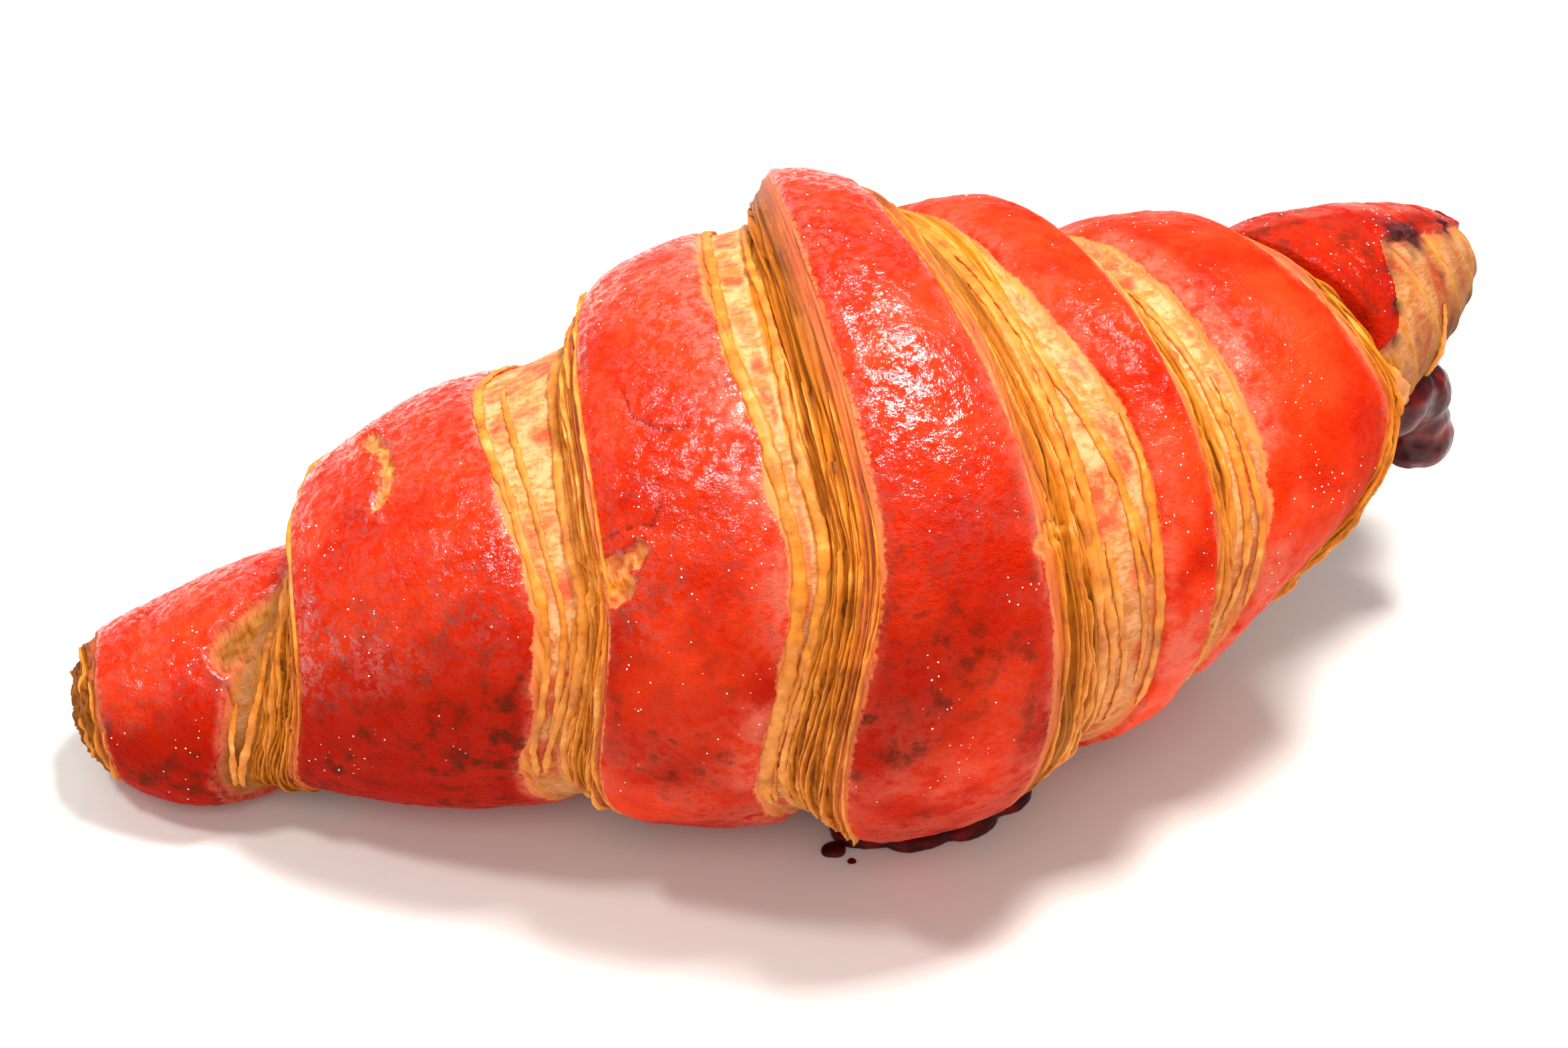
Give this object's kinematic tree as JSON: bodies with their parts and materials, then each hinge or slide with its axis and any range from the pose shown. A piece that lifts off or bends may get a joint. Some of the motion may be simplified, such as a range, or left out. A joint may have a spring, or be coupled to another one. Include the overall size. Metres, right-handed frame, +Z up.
{
  "type": "filled croissant",
  "caption": "Crescent-shaped rolled pastry with dyed outer stripes over golden layered dough and berry jam oozing at one tip and underneath, resting flat.",
  "frame": {"origin": "middle of the underside of the whole object's box, on the surface it rests on", "axes": "+X along the length from the low left tip to the raised right tip, +Y away from the viewer towards the tips, +Z up"},
  "size_m": [0.1636, 0.0782, 0.0677],
  "materials": {
    "crust": "baked red-dyed dough skin under a thin sugar glaze",
    "layers": "baked golden laminated dough, crisp thin leaves",
    "jam": "glossy dark berry jam"
  },
  "bodies": {
    "root": {"croissant": "crust", "jam_tip": "jam", "jam_pool": "jam"}
  },
  "joints": []
}
